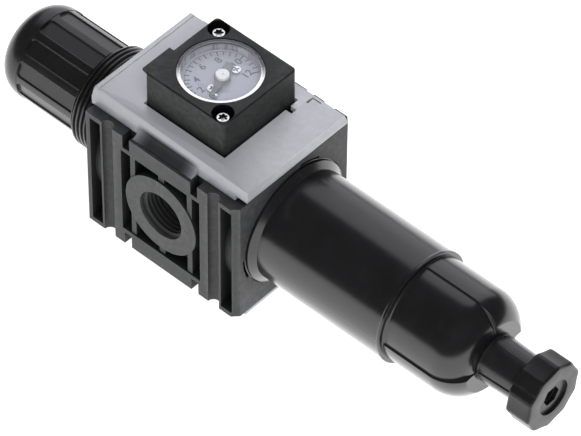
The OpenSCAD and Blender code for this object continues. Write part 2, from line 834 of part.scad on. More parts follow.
module drain_knob() color([0.06, 0.06, 0.065]) difference() {
  edge_x = drain_knob_r - 1;    // centre of the rounded edges
  rotate_extrude($fn = 128) union() {
    translate([0, drain_face + 1]) square([drain_knob_r, stub_end - drain_face - 2.2]);
    translate([0, drain_face]) square([edge_x, stub_end - drain_face - 0.2]);
    for (z = [drain_face + 1, stub_end - 1.2]) translate([edge_x, z]) circle(r = 1, $fn = 32);
  }
  // flats round the grip
  difference() {
    disc(20, drain_face - 1, 16, 64);
    rotate([0, 0, -10]) disc(drain_knob_r + 0.25, drain_face - 2, 18, drain_flats);
  }
  // recess, socket, bearing, clip groove
  disc(7.4, drain_face - 1, 2.2);
  hex_bar(drain_hex, drain_face - 1, -150);
  disc(6.06, -158.05, 10, 64);
  ring(6.9, 5, clip_z0, clip_z1);
}

module drain_clip() color([0.7, 0.7, 0.72])
  translate([0, 0, clip_z0 + 0.15]) rotate([0, 0, 20]) rotate_extrude(angle = 320, $fn = 96)
    translate([5.4, 0]) square([1.4, 0.9]);

body();
front_cover();
rear_cover();
gauge_housing();
gauge_lens();
gauge_dial();
dial_screws();
movement_plate();
gauge_socket();
bourdon_spiral();
pointer_spindle();
gauge_pointer();
pointer_hub();
zero_stop();
gauge_screws();
gauge_seal();
bonnet();
knob();
adjusting_spindle();
thrust_washer();
spring_plate();
main_spring();
diaphragm();
upper_plate();
lower_plate();
valve_stem();
valve_poppet();
poppet_seal();
valve_seat();
valve_spring();
valve_guide();
swirl_deflector();
filter_element();
filter_baffle();
bowl();
bowl_seal();
drain_body();
drain_nut();
drain_seal();
drain_pin();
drain_knob();
drain_clip();
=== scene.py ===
# Compressed-air filter regulator. Its axis is Z: the adjusting knob is at the top (+Z), the bowl
# and drain at the bottom (-Z). The inlet port faces -X, the outlet +X and the gauge the front (-Y).
# The whole lies on its back, so the floor is an upright plane at its +Y side.
# Shapes are given in mm and degrees, materials, lights and camera in metres.
import bpy
import bmesh
import json
import math
import numpy as np
from mathutils import Matrix, Vector


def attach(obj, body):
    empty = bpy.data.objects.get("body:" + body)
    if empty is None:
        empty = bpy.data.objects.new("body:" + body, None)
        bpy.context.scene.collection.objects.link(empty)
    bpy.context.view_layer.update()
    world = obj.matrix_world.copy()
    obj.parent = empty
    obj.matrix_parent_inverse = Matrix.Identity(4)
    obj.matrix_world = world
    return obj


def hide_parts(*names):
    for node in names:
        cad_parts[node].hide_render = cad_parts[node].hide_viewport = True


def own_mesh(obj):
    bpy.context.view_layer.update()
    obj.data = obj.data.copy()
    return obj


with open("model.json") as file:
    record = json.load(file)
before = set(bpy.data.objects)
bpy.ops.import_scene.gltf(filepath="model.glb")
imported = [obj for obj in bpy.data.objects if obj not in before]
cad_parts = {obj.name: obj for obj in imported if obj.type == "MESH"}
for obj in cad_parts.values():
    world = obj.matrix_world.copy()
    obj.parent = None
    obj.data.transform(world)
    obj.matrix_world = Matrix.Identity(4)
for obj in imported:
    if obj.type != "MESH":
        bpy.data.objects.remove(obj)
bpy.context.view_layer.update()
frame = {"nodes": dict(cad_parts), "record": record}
NODES = frame["nodes"]
MM = 0.001

GAUGE_X, GAUGE_Z = -0.25, -1.45       # axis of the gauge
GAUGE_FRONT = -54.05                  # y of its foremost plane


# ---------------------------------------------------------------- shader node tools

class Nodes:
    """Short calls for adding nodes to a node tree."""

    def __init__(self, tree):
        self.tree = tree

    def put(self, socket, value):
        """Links a socket, or sets its value; a colour may leave out its alpha."""
        if isinstance(value, bpy.types.NodeSocket):
            self.tree.links.new(value, socket)
        elif isinstance(value, tuple):
            socket.default_value = (value + (1,))[:len(socket.default_value)]
        else:
            socket.default_value = value

    def node(self, kind, inputs={}, **properties):
        node = self.tree.nodes.new("ShaderNode" + kind)
        for key, value in properties.items():
            setattr(node, key, value)
        for key, value in inputs.items():
            self.put(node.inputs[key], value)
        return node


class MaterialNodes(Nodes):
    """A new material with an output node and object coordinates."""

    def __init__(self, name):
        self.material = bpy.data.materials.new(name)
        self.material.use_nodes = True
        super().__init__(self.material.node_tree)
        self.tree.nodes.clear()
        self.output = self.node("OutputMaterial")
        self.coords = self.node("TexCoord").outputs["Object"]

    def position(self):
        """Object-space x, y and z."""
        coords = self.node("TexCoord").outputs["Object"]
        return self.node("SeparateXYZ", {0: coords}).outputs

    def noise(self, scale, detail=2, rough=0.5, warp=0.0, coords=None):
        return self.node("TexNoise", {
            "Vector": self.coords if coords is None else coords, "Scale": scale,
            "Detail": detail, "Roughness": rough, "Distortion": warp}).outputs["Fac"]

    def ramp(self, factor, *stops):
        """Colour ramp through stops of (position, grey)."""
        node = self.node("ValToRGB", {0: factor})
        elements = node.color_ramp.elements
        while len(elements) < len(stops):
            elements.new(0.5)
        for element, (position, grey) in zip(elements, stops):
            element.position = position
            element.color = (grey, grey, grey, 1)
        return node.outputs[0]

    def math(self, operation, a, b, clamp=False):
        return self.node("Math", {0: a, 1: b}, operation=operation, use_clamp=clamp).outputs[0]

    def times(self, a, b):
        return self.math("MULTIPLY", a, b)

    def mix(self, factor, a, b):
        return self.node("Mix", {0: factor, 6: a, 7: b},
                         data_type="RGBA", blend_type="MIX").outputs[2]

    def bump(self, height, strength, distance, normal=None):
        node = self.node("Bump", {"Strength": strength, "Distance": distance, "Height": height})
        if normal is not None:
            self.put(node.inputs["Normal"], normal)
        return node.outputs[0]

    def mix_shader(self, factor, a, b):
        return self.node("MixShader", {0: factor, 1: a, 2: b}).outputs[0]


# ---------------------------------------------------------------- opaque materials

def scaled(colour, factor, lift=0.0):
    return tuple(min(1, channel * factor + lift) for channel in colour)


def add_specks(t, colour, base, amount, scale):
    """Light specks, then larger dark ones."""
    light = t.noise(scale, rough=0.7)
    colour = t.mix(t.ramp(light, (0.52, 0.0), (0.72, amount)), colour, scaled(base, 1.9, 0.012))
    dark = t.noise(scale * 0.6, rough=0.7)
    return t.mix(t.ramp(dark, (0.28, amount), (0.46, 0.0)), colour, scaled(base, 0.45))


def add_dust(t, colour, amount):
    """Pale cloudy patches."""
    patches = t.ramp(t.noise(180, detail=5, rough=0.7, warp=0.6), (0.45, 0.0), (0.75, 1.0))
    return t.mix(t.times(patches, amount), colour, (0.25, 0.245, 0.235))


def add_wear(t, colour, amount, worn_colour):
    """Rubbed colour, in patches, where the mesh is pointed."""
    pointed = t.node("NewGeometry").outputs["Pointiness"]
    worn = t.times(t.ramp(pointed, (0.52, 0.0), (0.6, 1.0)),
                   t.ramp(t.noise(420, detail=3, rough=0.7), (0.4, 0.25), (0.65, 1.0)))
    return t.mix(t.times(worn, amount), colour, worn_colour)


def add_grime(t, colour, base, reach, amount):
    """Painted shade: darker down in the pockets, by ambient occlusion. Returns the colour and the
    openness of the surface.
    """
    openness = t.node("AmbientOcclusion", {"Distance": reach}, samples=6).outputs["AO"]
    pocket = t.times(t.ramp(openness, (0.4, 1.0), (0.95, 0.0)), amount)
    return t.mix(pocket, colour, scaled(base, 0.12)), openness


def add_edge_line(t, colour, openness, radius, amount, line_colour):
    """Painted highlight along the edges, partly standing for rubbed wear: a thin lighter line where
    a bevelled normal leaves the true one, but not in pockets.
    """
    rounded_normal = t.node("Bevel", {"Radius": radius}, samples=6).outputs[0]
    true_normal = t.node("NewGeometry").outputs["Normal"]
    agreement = t.node("VectorMath", {0: rounded_normal, 1: true_normal},
                       operation="DOT_PRODUCT").outputs["Value"]
    line = t.ramp(t.math("SUBTRACT", 1.0, agreement), (0.015, 0.0), (0.13, 1.0))
    if openness is not None:
        line = t.times(line, t.ramp(openness, (0.72, 0.0), (0.92, 1.0)))
    line = t.times(line, t.ramp(t.noise(330, detail=3, rough=0.6), (0.3, 0.55), (0.65, 1.0)))
    return t.mix(t.times(line, amount), colour, line_colour)


def shade_coves(t, colour):
    """Painted shadow of the bars on the coved skirts over the middle bars, darkest half-way along.
    Returns the colour and the shadow."""
    x, y, z = t.position()
    toward_inlet = t.times(x, -1.0)
    off_middle = t.math("ABSOLUTE", z, 0.0)
    # ramps across x from 26.3 mm, across y from -37.3 mm and outward in z
    shadow_x = t.ramp(t.times(t.math("SUBTRACT", toward_inlet, 0.0263), 400.0),
                      (0.0, 0.0), (0.22, 1.0))
    shadow_y = t.ramp(t.times(t.math("ADD", y, 0.0373), 250.0),
                      (0.15, 0.0), (0.4, 0.5), (0.6, 0.84), (0.85, 1.0))
    shadow_z = t.ramp(t.times(off_middle, 62.0),
                      (0.5, 1.0), (0.62, 0.94), (0.74, 0.8), (0.86, 0.55), (0.98, 0.1))
    shadow = t.times(t.times(shadow_x, shadow_y), shadow_z)
    # painted shade: the grey also deepens gently toward the inlet side
    falloff = t.ramp(t.times(toward_inlet, 36.0), (0.28, 0.0), (0.86, 0.6))
    colour = t.mix(falloff, colour, (0.29, 0.294, 0.325))
    return t.mix(t.times(shadow, 0.98), colour, (0.022, 0.023, 0.026)), shadow


def opaque(name, base, rough, bumps, metal=0.0, colour_var=0.12, colour_scale=55, speck=0.0,
           speck_scale=2600, rough_var=0.12, wear=None, bevel=0.00025, specular=0.5,
           brushed=None, dust=0.0, shade=None, pocket_shade=None, edge=None):
    """Mottled plastic or metal.

    bumps: (noise scale, strength, height) each      wear: (amount, colour)
    pocket_shade: painted shade (reach, amount)      edge: painted highlight and wear (radius, amount, colour)
    bevel: radius of the softened edges              brushed: stretch of the bump noise
    shade: function that gives (colour, shadow) from (nodes, colour)
    """
    t = MaterialNodes(name)
    surface = t.node("BsdfPrincipled")
    mottle = t.noise(colour_scale, detail=4, rough=0.6, warp=0.3)
    colour = t.mix(t.ramp(mottle, (0.3, 0.0), (0.7, 1.0)),
                   scaled(base, 1 - colour_var), scaled(base, 1 + colour_var))
    openness = shadow = None
    if speck:
        colour = add_specks(t, colour, base, speck, speck_scale)
    if dust:
        colour = add_dust(t, colour, dust)
    if wear:
        colour = add_wear(t, colour, *wear)
    # painted shade, darker in the pockets
    if pocket_shade:
        colour, openness = add_grime(t, colour, base, *pocket_shade)
    # painted highlight, partly wear, as lighter lines along the edges
    if edge:
        colour = add_edge_line(t, colour, openness, *edge)
    if shade:
        colour, shadow = shade(t, colour)
    roughness = t.math("ADD", t.times(t.noise(colour_scale * 3.1, detail=5, rough=0.65), rough_var),
                       rough - rough_var / 2, clamp=True)
    # the painted shadow also lowers the specular
    if shadow is not None:
        specular = t.math("SUBTRACT", specular, t.times(shadow, specular * 0.85))

    normal = None
    if bevel:
        normal = t.node("Bevel", {"Radius": bevel}, samples=4).outputs[0]
    for scale, strength, height in bumps:
        coords = t.node("Mapping", {"Vector": t.coords, "Scale": brushed}).outputs[0] \
            if brushed else None
        grain = t.noise(scale, detail=3, rough=0.6, coords=coords)
        normal = t.bump(grain, strength, height, normal)
    for key, value in (("Base Color", colour), ("Roughness", roughness), ("Metallic", metal),
                       ("Specular IOR Level", specular), ("Normal", normal)):
        t.put(surface.inputs[key], value)
    t.put(t.output.inputs[0], surface.outputs[0])
    return t.material


# the pocket darkening in these materials is painted shade; the lighter edge lines are painted
# highlights that partly stand for rubbed wear
MAT = {
    "body_plastic": opaque(
        "glass_filled_charcoal", (0.031, 0.032, 0.0335), rough=0.62, specular=0.34,
        colour_var=0.16, speck=0.55, speck_scale=2400,
        bumps=[(1500, 0.35, 0.00008), (300, 0.12, 0.0001)], wear=(0.25, (0.16, 0.16, 0.17)),
        dust=0.05, pocket_shade=(0.011, 0.97), edge=(0.0004, 0.8, (0.13, 0.132, 0.138))),
    "cover_plastic": opaque(
        "cover_grey", (0.43, 0.435, 0.475), rough=0.42, colour_var=0.03, colour_scale=30,
        speck=0.06, rough_var=0.08, bumps=[(1300, 0.1, 0.00004), (90, 0.05, 0.0001)],
        wear=(0.2, (0.75, 0.76, 0.78)), bevel=0.0005, shade=shade_coves,
        edge=(0.0005, 0.85, (0.92, 0.92, 0.93))),
    "housing_plastic": opaque(
        "gauge_case_dark", (0.0078, 0.0087, 0.0082), rough=0.5, colour_var=0.15, speck=0.2,
        bumps=[(1600, 0.22, 0.00005)], wear=(0.3, (0.08, 0.085, 0.08)), bevel=0.0003,
        pocket_shade=(0.007, 0.88), specular=0.16, edge=(0.0003, 0.45, (0.06, 0.062, 0.06))),
    "dial_print": opaque(
        "dial_silver", (0.40, 0.40, 0.445), rough=0.38, metal=0.15, colour_var=0.04,
        colour_scale=90, speck=0.05, rough_var=0.05, bumps=[(1800, 0.08, 0.00003)], bevel=0.0001),
    "zinc_steel": opaque(
        "zinc_plate", (0.72, 0.73, 0.74), rough=0.24, metal=1.0, colour_var=0.1,
        colour_scale=240, rough_var=0.16, bumps=[(900, 0.2, 0.00004)],
        wear=(0.2, (0.9, 0.9, 0.9)), bevel=0.00015, pocket_shade=(0.0022, 0.93)),
    "bright_steel": opaque(
        "bright_steel", (0.88, 0.88, 0.88), rough=0.26, metal=0.75, colour_var=0.06,
        colour_scale=200, bumps=[(1500, 0.1, 0.00003)], bevel=0.0001, pocket_shade=(0.0009, 1.0)),
    "brass": opaque(
        "machined_brass", (0.66, 0.5, 0.22), rough=0.3, metal=1.0, colour_scale=120,
        bumps=[(900, 0.2, 0.00004)], brushed=(1, 1, 12)),
    "pointer_grey": opaque(
        "pointer_satin", (0.17, 0.175, 0.175), rough=0.4, colour_var=0.1, colour_scale=200,
        bumps=[(1500, 0.1, 0.00002)], bevel=0.00008),
    "hub_white": opaque(
        "hub_white", (0.98, 0.96, 0.94), rough=0.35, colour_var=0.02, colour_scale=200,
        bumps=[(1500, 0.1, 0.00002)], bevel=0.0002),
    "seal_rubber": opaque(
        "nitrile", (0.02, 0.02, 0.02), rough=0.7, colour_var=0.2,
        bumps=[(1200, 0.3, 0.00006)], dust=0.08),
    "knob_plastic": opaque(
        "knob_black", (0.008, 0.008, 0.0085), rough=0.29, specular=0.38, colour_var=0.18,
        speck=0.1, rough_var=0.14, bumps=[(1800, 0.16, 0.00004), (150, 0.06, 0.0001)],
        wear=(0.3, (0.05, 0.05, 0.052)), dust=0.02, bevel=0),
    "bonnet_plastic": opaque(
        "collar_black", (0.0085, 0.0085, 0.009), rough=0.30, colour_var=0.18, speck=0.1,
        bumps=[(1500, 0.15, 0.00004)], wear=(0.3, (0.07, 0.07, 0.075)), bevel=0),
    "steel": opaque(
        "plated_steel", (0.55, 0.56, 0.56), rough=0.32, metal=1.0, colour_scale=160,
        bumps=[(1000, 0.2, 0.00004)]),
    "bronze_washer": opaque(
        "bronze", (0.5, 0.35, 0.17), rough=0.38, metal=1.0, bumps=[(900, 0.2, 0.00004)]),
    "plate_alloy": opaque(
        "die_cast", (0.5, 0.5, 0.5), rough=0.45, metal=1.0, colour_var=0.15, speck=0.2,
        bumps=[(700, 0.3, 0.00006)]),
    "spring_steel": opaque(
        "spring_wire", (0.34, 0.35, 0.37), rough=0.3, metal=1.0, colour_var=0.15,
        colour_scale=200, bumps=[(1500, 0.2, 0.00003)], bevel=0),
    "guide_plastic": opaque(
        "natural_acetal", (0.7, 0.7, 0.66), rough=0.45, colour_var=0.05,
        bumps=[(1200, 0.12, 0.00004)]),
    "inner_plastic": opaque(
        "inner_dark", (0.03, 0.03, 0.033), rough=0.5, colour_var=0.15, speck=0.1,
        bumps=[(1200, 0.15, 0.00004)]),
    "filter_medium": opaque(
        "sintered", (0.74, 0.72, 0.65), rough=0.85, colour_var=0.1, speck=0.5,
        speck_scale=1500, bumps=[(1400, 0.8, 0.00025)]),
    "bowl_plastic": opaque(
        "bowl_black", (0.0072, 0.0072, 0.0082), rough=0.21, colour_var=0.2, colour_scale=40,
        speck=0.06, rough_var=0.07, bumps=[(1700, 0.07, 0.00003), (60, 0.1, 0.00025)],
        wear=(0.25, (0.04, 0.04, 0.045)), dust=0.015, bevel=0),
    "drain_plastic": opaque(
        "drain_black", (0.0075, 0.0075, 0.0085), rough=0.28, colour_var=0.18, speck=0.08,
        specular=0.45, bumps=[(1700, 0.12, 0.00004)], wear=(0.3, (0.05, 0.05, 0.055)),
        dust=0.02, bevel=0),
    "drain_grip": opaque(
        "drain_grip_black", (0.006, 0.0062, 0.006), rough=0.36, colour_var=0.18, speck=0.08,
        specular=0.26, bumps=[(1700, 0.12, 0.00004)], wear=(0.3, (0.05, 0.05, 0.05)),
        dust=0.02, bevel=0),
}


# ---------------------------------------------------------------- clear materials

def frost_rim(t, milky, cloud, most):
    """Painted glowing highlight: whitens the milky shader toward -X and -Z of the gauge, makes it
    glow there and raises its cloudiness. Returns the raised cloudiness.
    """
    slope_x, slope_z = -0.73 / 0.016, -0.68 / 0.016
    x, _, z = t.position()
    along = t.math("ADD", t.times(t.math("ADD", x, -GAUGE_X * MM), slope_x),
                   t.times(t.math("ADD", z, -GAUGE_Z * MM), slope_z))
    lit = t.ramp(t.math("ADD", t.times(along, 0.5), 0.5), (0.40, 0.0), (0.62, 1.0))
    cloud = t.math("ADD", cloud, t.times(lit, most), clamp=True)
    t.put(milky.inputs["Base Color"], t.mix(lit, (0.5, 0.5, 0.56), (0.97, 0.97, 0.98)))
    t.put(milky.inputs["Emission Strength"], t.times(lit, 0.35))
    t.put(milky.inputs["Emission Color"], (1, 1, 1))
    return cloud


def clear(name, tint, rough, cloudiness, rim_glint=False):
    """Clear moulding: see-through face on, mirror-like towards the edge, a little cloudy."""
    t = MaterialNodes(name)
    through = t.node("BsdfTransparent", {0: tint})
    mirror = t.node("BsdfGlossy", {"Roughness": rough, "Color": (0.95, 0.96, 1.0)})
    milky = t.node("BsdfPrincipled", {"Base Color": (0.86, 0.87, 0.9), "Roughness": 0.3})
    facing = t.node("LayerWeight", {"Blend": 0.5}).outputs["Facing"]
    ripple = t.bump(t.noise(140, detail=3, rough=0.6), strength=0.05, distance=0.0001)
    t.put(mirror.inputs["Normal"], ripple)
    reflection = t.math("ADD", t.times(t.math("POWER", facing, 4.0), 0.9), 0.035, clamp=True)
    cloud = t.times(t.ramp(t.noise(260, detail=4, rough=0.7), (0.3, 0.6), (0.8, 1.0)), cloudiness)
    # painted glowing highlight on the rim
    if rim_glint:
        cloud = frost_rim(t, milky, cloud, most=0.9 - cloudiness)
    inside = t.mix_shader(cloud, through.outputs[0], milky.outputs[0])
    t.put(t.output.inputs[0], t.mix_shader(reflection, inside, mirror.outputs[0]))
    return t.material


MAT["lens_clear"] = clear("lens_clear", tint=(0.96, 0.97, 0.98), rough=0.04, cloudiness=0.05)
# the rim of the window carries a painted glowing highlight toward -X and -Z
MAT["lens_rim"] = clear("lens_rim", tint=(0.80, 0.80, 0.86), rough=0.18, cloudiness=0.26,
                        rim_glint=True)
MAT["skirt"] = opaque("clear_skirt", (0.26, 0.26, 0.30), rough=0.25, colour_scale=140,
                      bumps=[(900, 0.1, 0.00004)], bevel=0.00012)
MAT["skirt_tab"] = opaque("clear_skirt_tab", (0.42, 0.44, 0.45), rough=0.22, colour_var=0.1,
                          colour_scale=160, bumps=[(900, 0.1, 0.00004)], bevel=0.00012)
MAT["dial_ink"] = opaque("scale_ink", (0.10, 0.10, 0.125), rough=0.6, colour_var=0.2,
                         colour_scale=500, bumps=[(1500, 0.1, 0.00002)], bevel=0)


# ---------------------------------------------------------------- object tools

def link_object(name, mesh):
    ob = bpy.data.objects.new(name, mesh)
    bpy.context.scene.collection.objects.link(ob)
    return ob


def assign(ob, body, replaced=None):
    """Hangs the part on the body that carries it and hides the CAD piece it replaces."""
    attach(ob, body)
    if replaced:
        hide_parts(replaced)


def drop_twin_faces(bm):
    """Removes every face that shares all its vertices with another."""
    by_verts = {}
    for face in bm.faces:
        by_verts.setdefault(tuple(sorted(v.index for v in face.verts)), []).append(face)
    twins = [face for faces in by_verts.values() if len(faces) > 1 for face in faces]
    bmesh.ops.delete(bm, geom=twins, context="FACES_ONLY")


def tidy_mesh(mesh, weld, drop_twins):
    bm = bmesh.new()
    bm.from_mesh(mesh)
    if weld:
        bmesh.ops.remove_doubles(bm, verts=bm.verts, dist=weld)
    if drop_twins:
        drop_twin_faces(bm)
    bmesh.ops.recalc_face_normals(bm, faces=bm.faces)
    bm.to_mesh(mesh)
    bm.free()


def add_part(name, verts, faces, slot, sharp, body="housing", replaced=None, materials=None,
             face_materials=None, tidy=True, weld=2e-7, drop_twins=False):
    """Makes a smooth-shaded part; edges over `sharp` degrees stay crisp, `weld` is in metres."""
    mesh = bpy.data.meshes.new(name)
    mesh.from_pydata(verts, [], faces)
    mesh.validate()
    for key in materials or [slot]:
        mesh.materials.append(MAT[key])
    if face_materials:
        mesh.polygons.foreach_set("material_index", np.array(face_materials, dtype=np.int32))
    if tidy:
        tidy_mesh(mesh, weld, drop_twins)
    mesh.shade_smooth()
    mesh.set_sharp_from_angle(angle=math.radians(sharp))
    ob = link_object(name, mesh)
    assign(ob, body, replaced)
    return ob


# ---------------------------------------------------------------- shape tools

def smooth_step(x):
    x = max(0.0, min(1.0, x))
    return x * x * (3 - 2 * x)


def angle_gap(a, b):
    return abs((a - b + 180) % 360 - 180)


def even_angles(count):
    return [360.0 * i / count for i in range(count)]


def arc(centre_r, centre_z, radius, start, end, count):
    """Outline points of an arc, with no corner radius."""
    angles = [math.radians(start + (end - start) * i / count) for i in range(count + 1)]
    return [(centre_r + radius * math.cos(a), centre_z + radius * math.sin(a), 0) for a in angles]


def rounded(outline, steps=5):
    """Points of an open outline of (r, z, corner radius), with arcs at its corners."""
    points = []
    for i, (r, z, radius) in enumerate(outline):
        corner = np.array([r, z], float)
        if radius <= 0 or i in (0, len(outline) - 1):
            points.append(corner)
            continue
        before = np.array(outline[i - 1][:2], float) - corner
        after = np.array(outline[i + 1][:2], float) - corner
        length_before, length_after = np.linalg.norm(before), np.linalg.norm(after)
        before, after = before / length_before, after / length_after
        angle = math.acos(max(-1, min(1, float(before @ after))))
        if angle > math.pi - 1e-3:
            points.append(corner)
            continue
        # an arc takes at most 0.49 of either side
        setback = min(radius / math.tan(angle / 2), length_before * 0.49, length_after * 0.49)
        fitted = setback * math.tan(angle / 2)
        middle = (before + after) / np.linalg.norm(before + after)
        centre = corner + middle * (fitted / math.sin(angle / 2))
        start = math.atan2(*(corner + before * setback - centre)[::-1])
        end = math.atan2(*(corner + after * setback - centre)[::-1])
        sweep = (end - start + math.pi) % (2 * math.pi) - math.pi
        for k in range(steps + 1):
            a = start + sweep * k / steps
            points.append(centre + fitted * np.array([math.cos(a), math.sin(a)]))
    return points


def subdivided(points, z_low, z_high, step):
    """Splits the segments that reach between two heights, so that none is longer than step."""
    result = [points[0]]
    for p, q in zip(points, points[1:]):
        count = 1
        if min(p[1], q[1]) < z_high and max(p[1], q[1]) > z_low:
            count = max(1, int(math.ceil(float(np.linalg.norm(q - p)) / step)))
        for i in range(1, count + 1):
            result.append(p + (q - p) * i / count)
    return result


def revolve(rows, angles, shape=None, closed=False, turn=0.0):
    """Vertices and faces of rows (r, z) turned about Z. Rows at r = 0 are poles.

    shape(row number, r, z, angle) gives the (r, z) of a vertex; closed joins last row to first.
    """
    verts, faces, rings = [], [], []
    for i, (r, z) in enumerate(rows):
        if r < 1e-6:
            rings.append([len(verts)] * len(angles))
            verts.append((0, 0, z * MM))
            continue
        ring = []
        for angle in angles:
            vert_r, vert_z = shape(i, r, z, angle) if shape else (r, z)
            a = math.radians(angle + turn)
            ring.append(len(verts))
            verts.append((vert_r * math.cos(a) * MM, vert_r * math.sin(a) * MM, vert_z * MM))
        rings.append(ring)
    pairs = list(zip(rings, rings[1:]))
    if closed:
        pairs.append((rings[-1], rings[0]))
    for upper, lower in pairs:
        for j in range(len(angles)):
            k = (j + 1) % len(angles)
            face = tuple(dict.fromkeys((upper[j], upper[k], lower[k], lower[j])))
            if len(face) > 2:
                faces.append(face)
    return verts, faces


def merge(parts):
    all_verts, all_faces = [], []
    for verts, faces in parts:
        base = len(all_verts)
        all_verts += verts
        all_faces += [tuple(base + i for i in face) for face in faces]
    return all_verts, all_faces


def face_front(verts, x0, y0, z0):
    """Turns a piece built about +Z so that its +Z points at -Y, with its origin at a place."""
    return [(x + x0 * MM, y0 * MM - z, y + z0 * MM) for x, y, z in verts]


def tube_faces(count, sides):
    """Faces joining count + 1 loops of vertices, with a cap at each end."""
    faces = []
    for i in range(count):
        for j in range(sides):
            k = (j + 1) % sides
            faces.append((i * sides + j, i * sides + k, (i + 1) * sides + k, (i + 1) * sides + j))
    faces.append(tuple(range(sides)))
    faces.append(tuple(range(count * sides, count * sides + sides)))
    return faces


def ring_segment(r_in, r_out, z_low, z_high, start, end, count=10, corner=0.3):
    """Sector of a ring whose outer corners are rounded."""
    z_middle = (z_low + z_high) / 2
    section = rounded([(r_in, z_middle, 0), (r_in, z_low, 0), (r_out, z_low, corner),
                       (r_out, z_high, corner), (r_in, z_high, 0), (r_in, z_middle, 0)], 3)[:-1]
    verts = []
    for i in range(count + 1):
        a = math.radians(start + (end - start) * i / count)
        verts += [(r * math.cos(a) * MM, r * math.sin(a) * MM, z * MM) for r, z in section]
    return verts, tube_faces(count, len(section))


def coil(radius, wire, z_low, z_high, turns, steps=40, sides=14, closing=0.8):
    """Spring of wire radius `wire` whose end turns close up over `closing` of a turn."""
    count = int(turns * steps)
    pitch = []
    for i in range(count + 1):
        turn = turns * i / count
        pitch.append(0.25 + 0.75 * smooth_step(min(turn, turns - turn) / closing))
    rise = np.concatenate([[0], np.cumsum([(a + b) / 2 for a, b in zip(pitch, pitch[1:])])])
    low, high = z_low + wire, z_high - wire
    heights = low + (high - low) * rise / rise[-1]
    verts = []
    for i in range(count + 1):
        a = 2 * math.pi * turns * i / count
        after, before = min(count, i + 1), max(0, i - 1)
        slope = (heights[after] - heights[before]) \
            / (2 * math.pi * turns / count * (after - before))
        tangent = Vector((-math.sin(a) * radius, math.cos(a) * radius, slope)).normalized()
        outward = Vector((math.cos(a), math.sin(a), 0))
        across = tangent.cross(outward)
        centre = Vector((radius * math.cos(a), radius * math.sin(a), heights[i]))
        for j in range(sides):
            b = 2 * math.pi * j / sides
            p = centre + outward * (wire * math.cos(b)) + across * (wire * math.sin(b))
            p.z = min(max(p.z, z_low), z_high)
            verts.append(tuple(p * MM))
    return verts, tube_faces(count, sides)


# ---------------------------------------------------------------- knob

KNOB_R = 19.3
KNOB_RIM, KNOB_TOP = 57.5, 98.3
KNOB_WALL_END = 57.95                 # the rim starts here
KNOB_PITCH = 30                       # from rib to rib
PANEL_TOP, PANEL_DEPTH = 86.3, 0.95
PANEL_HALF = 10.0                     # half width of a sunken panel, in degrees
PANEL_CORNER, PANEL_SLOPE = 1.7, 0.42
# vertex angles about the middle of each rib, closest at the panel edges
KNOB_OFFSETS = [-15, -13, -11, -9, -7.5, -6.6, -6.1, -5.7, -5.4, -5.1, -4.8, -4.3, -3.2, -1.6, 0,
                1.6, 3.2, 4.3, 4.8, 5.1, 5.4, 5.7, 6.1, 6.6, 7.5, 9, 11, 13]


def build_knob():
    """Domed cap with twelve sunken panels round its wall, open below."""
    cap = rounded([(0, KNOB_TOP, 0), (5, KNOB_TOP, 0)] + arc(9.5, KNOB_TOP - 10, 10, 90, 0, 22)
                  + [(19.5, 86.5, 0.2), (19.32, 86.3, 0)], 4)
    wall_heights = [*np.arange(86.25, 82.0, -0.16), *np.arange(81.5, 58.5, -1.3),
                    58.2, KNOB_WALL_END]
    wall = [np.array([KNOB_R, z]) for z in wall_heights]
    rim = rounded([(KNOB_R, KNOB_WALL_END, 0), (KNOB_R, KNOB_RIM, 0.4), (17.4, KNOB_RIM, 0.3),
                   (17.4, 88, 0.4), (4.75, 88, 0), (4.75, 97, 0), (0, 97, 0)], 5)[1:]
    wall_rows = range(len(cap), len(cap) + len(wall))

    def sink_panels(row, r, z, angle):
        if row not in wall_rows and not (r > 18.6 and z < 58.2):
            return r, z
        half_pitch = KNOB_PITCH / 2
        off_rib = abs((angle + half_pitch) % KNOB_PITCH - half_pitch)
        off_panel = half_pitch - off_rib
        # distance outside the panel's outline, which has rounded upper corners
        half_width = math.radians(PANEL_HALF) * KNOB_R
        out_x = math.radians(off_panel) * KNOB_R - (half_width - PANEL_CORNER)
        out_z = z - (PANEL_TOP - PANEL_CORNER)
        outside = min(max(out_x, out_z), 0) + math.hypot(max(out_x, 0), max(out_z, 0)) \
            - PANEL_CORNER
        floor = min(KNOB_R, (KNOB_R - PANEL_DEPTH) / math.cos(math.radians(off_panel)))
        return r + (floor - KNOB_R) * smooth_step(0.5 - outside / PANEL_SLOPE), z

    angles = [KNOB_PITCH * i + offset for i in range(12) for offset in KNOB_OFFSETS]
    verts, faces = revolve(cap + wall + rim, angles, sink_panels, turn=5.5)
    add_part("knob_shell", verts, faces, "knob_plastic", sharp=40, body="knob", replaced="knob")


# ---------------------------------------------------------------- bonnet with its panel thread

BONNET_R, BONNET_PITCH, BONNET_THREAD_DEPTH = 21.5, 2.0, 1.05


